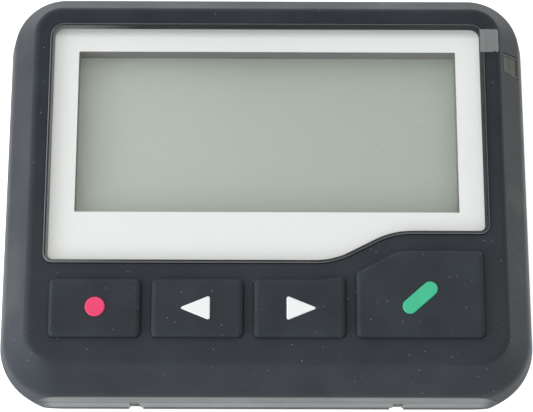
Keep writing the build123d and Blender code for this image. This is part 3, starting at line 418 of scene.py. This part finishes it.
wear("main_pcb", material=board())
tinned = metal("tinned_steel", (0.62, 0.62, 0.6, 1), 0.3, brushed=0)
wear("radio_shield", "crystal_can", "motor_can", material=tinned)
wear("loop_antenna", material=metal("plated_strip", (0.72, 0.5, 0.24, 1), 0.25, brushed=0))
wear("charge_contacts", material=metal("dark_contact", (0.045, 0.042, 0.04, 1), 0.5, brushed=2))
wear("case_screws", "pcb_screws", material=metal("screw_steel", (0.35, 0.35, 0.36, 1), 0.35))
drawn = metal("spring_steel", (0.6, 0.6, 0.62, 1), 0.2, brushed=0)
wear("clip_spring", "clip_pin", "motor_shaft", material=drawn)
wear("motor_weight", material=metal("tungsten", (0.25, 0.25, 0.26, 1), 0.5))
wear("battery_pack", material=plain_plastic("battery_wrap", (0.03, 0.07, 0.22, 1), 0.25))
sleeve = plain_plastic("wire_sleeve", (0.5, 0.02, 0.02, 1), 0.4)
wear("battery_leads", "motor_leads", material=sleeve)
wear("rear_label", material=plain_plastic("blank_label", (0.6, 0.61, 0.62, 1), 0.35, mottle=0.04))


# ---------------------------------------------------------------- floor, light and camera
def floor():
    mesh = bpy.data.meshes.new("floor")
    half = 3.0
    corners = [(-half, -half, 0), (half, -half, 0), (half, half, 0), (-half, half, 0)]
    mesh.from_pydata(corners, [], [(0, 1, 2, 3)])
    plane = bpy.data.objects.new("floor", mesh)
    bpy.context.scene.collection.objects.link(plane)
    s = Surface("pale_floor")
    tone = s.remap(s.noise(0.05, 3.0), 0.3, 0.7, 0.0, 1.0)
    body = s.mix(tone, (0.93, 0.93, 0.93, 1), (0.95, 0.95, 0.95, 1))
    lit = {"Emission Color": (1, 1, 1, 1), "Emission Strength": 0.55}
    mesh.materials.append(s.finish(s.principled(body, 0.8, **lit)))


def aim(obj, at, spot):
    """Puts obj at a place and turns its -Z axis to a spot."""
    obj.location = at
    obj.rotation_euler = (Vector(spot) - Vector(at)).to_track_quat("-Z", "Y").to_euler()


def softbox(name, way, distance, size, power, color):
    """A square area light in the given direction from the pager."""
    data = bpy.data.lights.new(name, "AREA")
    data.size = size
    data.energy = power
    data.color = color
    lamp = bpy.data.objects.new(name, data)
    bpy.context.scene.collection.objects.link(lamp)
    aim(lamp, Vector(way).normalized() * distance, (0, 0, FACE_Z))


CROWN = math.radians(21)  # how far the tent's dim top leans over


def tent(overhead, sides, left, right, far, near):
    """A white surround, dim only near its crown; the last four weigh its four walls."""
    world = bpy.data.worlds.new("tent")
    g = Graph(world)
    way = g.node("ShaderNodeTexCoord").outputs["Generated"]
    crown = (0, math.sin(CROWN), math.cos(CROWN))
    up = g.node("ShaderNodeVectorMath", {0: way, 1: crown}, operation="DOT_PRODUCT")
    fall = g.math("POWER", g.remap(up.outputs["Value"], 1.0, 0.0), 0.2)
    level = g.remap(fall, 0.0, 1.0, overhead, sides)
    split = g.node("ShaderNodeSeparateXYZ", {0: way}).outputs
    across, along = g.remap(split[0], -1, 1, left, right), g.remap(split[1], -1, 1, near, far)
    walls = g.math("MULTIPLY", across, along)
    tint = g.mix(g.remap(split[0], -1, 1), (0.97, 1.0, 1.06, 1), (1.0, 1.01, 0.9, 1))
    strength = g.math("MULTIPLY", level, walls)
    shine = g.node("ShaderNodeBackground", {"Color": tint, "Strength": strength})
    g.node("ShaderNodeOutputWorld", {"Surface": shine.outputs[0]})
    bpy.context.scene.world = world


# The camera looks down at the face, tilted towards the lower edge.
TILT = math.radians(16.5)
SWING = math.radians(-0.266)
ROLL = math.radians(0.092)
REACH = 284.3 * MM
TARGET = Vector((-0.08 * MM, -4.66 * MM, FACE_Z))
FOCAL = 122.9
SENSOR = 36.0


def camera():
    data = bpy.data.cameras.new("camera")
    data.lens = FOCAL
    data.sensor_width = SENSOR
    data.clip_start = 0.01
    made = bpy.data.objects.new("camera", data)
    bpy.context.scene.collection.objects.link(made)
    turn = Matrix.Rotation(SWING, 4, "Y") @ Matrix.Rotation(TILT, 4, "X")
    made.matrix_world = (
        Matrix.Translation(TARGET)
        @ turn
        @ Matrix.Translation((0, 0, REACH))
        @ Matrix.Rotation(ROLL, 4, "Z")
    )
    bpy.context.scene.camera = made


floor()
tent(0.12, 1.92, left=1.1, right=0.38, far=1.3, near=0.44)
softbox("key_light", (-0.8, -0.55, 0.28), 0.6, 0.28, 1.9, (0.92, 0.98, 1.06))
camera()
bpy.context.scene.view_settings.view_transform = "Standard"
